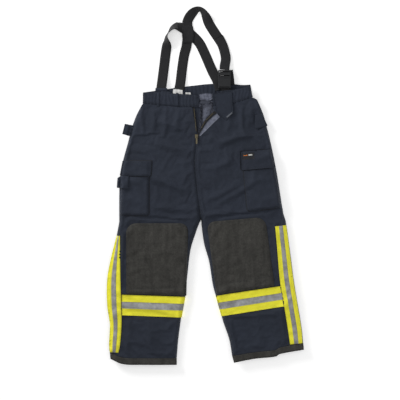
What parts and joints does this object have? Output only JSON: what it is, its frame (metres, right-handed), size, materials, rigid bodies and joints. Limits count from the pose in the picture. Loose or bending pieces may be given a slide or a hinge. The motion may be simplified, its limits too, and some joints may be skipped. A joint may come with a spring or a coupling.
{
  "type": "bunker pants",
  "caption": "Firefighter bunker pants lying flat with crossed braces, open zip fly, cargo pockets, knee pads and reflective trim.",
  "frame": {"origin": "centre of the garment's box in plan, on the surface that it lies on", "axes": "+X to the viewer's right seen from the front, +Y from hems to braces, +Z out of the front face"},
  "size_m": [0.752, 1.368, 0.0385],
  "materials": {
    "outer_shell": "woven twill, matt",
    "quilted_lining": "quilted, satin",
    "reinforcement": "coated, matt",
    "webbing": "ribbed webbing, matt",
    "yellow_trim": "fluorescent, matt",
    "silver_stripe": "retroreflective, satin",
    "zip_metal": "tumbled brass",
    "buckle_plastic": "moulded, matt",
    "white_label": "printed satin",
    "dark_label": "woven"
  },
  "bodies": {
    "trousers": {"back_waistband": "outer_shell", "belt_loops": "webbing", "brace_anchor_patches": "outer_shell", "buckle_socket": "buckle_plastic", "care_labels": "white_label", "cross_patch": "reinforcement", "fly_facing": "outer_shell", "fly_lining_strip": "quilted_lining", "left_back_shell": "outer_shell", "left_brace_tab": "webbing", "left_cargo_pocket": "outer_shell", "left_front_brace": "webbing", "left_front_shell": "outer_shell", "left_front_waistband": "outer_shell", "left_hip_tab": "outer_shell", "left_liner": "quilted_lining", "left_rear_brace": "webbing", "left_zip_tape": "webbing", "left_zip_teeth": "zip_metal", "right_back_shell": "outer_shell", "right_brace_tab": "webbing", "right_brace_tail": "webbing", "right_cargo_pocket": "outer_shell", "right_front_brace": "webbing", "right_front_shell": "outer_shell", "right_front_waistband": "outer_shell", "right_liner": "quilted_lining", "right_rear_brace": "webbing", "right_zip_tape": "webbing", "right_zip_teeth": "zip_metal", "waist_take_up_strap": "webbing"},
    "left_lower_leg": {"left_shin_front_shell": "outer_shell", "left_shin_back_shell": "outer_shell", "left_shin_liner": "quilted_lining", "left_cuff": "reinforcement", "left_knee_trim": "yellow_trim", "left_knee_stripe": "silver_stripe", "left_side_trim": "yellow_trim", "left_side_stripe": "silver_stripe", "left_knee_pad": "reinforcement"},
    "right_lower_leg": {"right_shin_front_shell": "outer_shell", "right_shin_back_shell": "outer_shell", "right_shin_liner": "quilted_lining", "right_cuff": "reinforcement", "right_knee_trim": "yellow_trim", "right_knee_stripe": "silver_stripe", "right_side_trim": "yellow_trim", "right_side_stripe": "silver_stripe", "right_knee_pad": "reinforcement"},
    "left_cargo_flap": {"left_cargo_flap": "outer_shell", "left_pocket_tab": "outer_shell"},
    "right_cargo_flap": {"right_cargo_flap": "outer_shell", "flap_label": "dark_label"},
    "hip_flap": {"right_hip_flap": "outer_shell"},
    "waist_tab": {"waist_tab": "outer_shell", "waist_tab_hook_strip": "reinforcement"},
    "zip_slider": {"zip_slider": "zip_metal"},
    "zip_pull": {"zip_pull": "zip_metal"},
    "brace_plug": {"buckle_plug": "buckle_plastic", "right_brace_end": "webbing"}
  },
  "joints": [
    {"name": "left_knee_fold", "type": "hinge", "parent": "trousers", "child": "left_lower_leg", "pos_m": [-0.175, -0.137, 0.026], "axis": [-1, 0, 0], "range_deg": [0, 110]},
    {"name": "right_knee_fold", "type": "hinge", "parent": "trousers", "child": "right_lower_leg", "pos_m": [0.1415, -0.1185, 0.026], "axis": [-0.9963, -0.0859, 0], "range_deg": [0, 110]},
    {"name": "left_cargo_flap_lift", "type": "hinge", "parent": "trousers", "child": "left_cargo_flap", "pos_m": [-0.261, 0.096, 0.0375], "axis": [-1, 0, 0], "range_deg": [0, 150]},
    {"name": "right_cargo_flap_lift", "type": "hinge", "parent": "trousers", "child": "right_cargo_flap", "pos_m": [0.1945, 0.136, 0.0375], "axis": [-0.9965, -0.0837, 0], "range_deg": [0, 150]},
    {"name": "hip_flap_lift", "type": "hinge", "parent": "trousers", "child": "hip_flap", "pos_m": [0.19, 0.242, 0.0295], "axis": [0, -1, 0], "range_deg": [0, 150]},
    {"name": "waist_tab_turn", "type": "hinge", "parent": "trousers", "child": "waist_tab", "pos_m": [0.037, 0.3185, 0.034], "axis": [0.1763, -0.9843, 0], "range_deg": [0, 160]},
    {"name": "zip_slide", "type": "slide", "parent": "trousers", "child": "zip_slider", "axis": [-0.0939, 0.9956, 0], "range_m": [0, 0.09]},
    {"name": "zip_pull_swing", "type": "hinge", "parent": "zip_slider", "child": "zip_pull", "pos_m": [-0.034, 0.1865, 0.0324], "axis": [-1, 0, 0], "range_deg": [0, 130]},
    {"name": "buckle_release", "type": "slide", "parent": "trousers", "child": "brace_plug", "axis": [0, 1, 0], "range_m": [0, 0.04]}
  ]
}
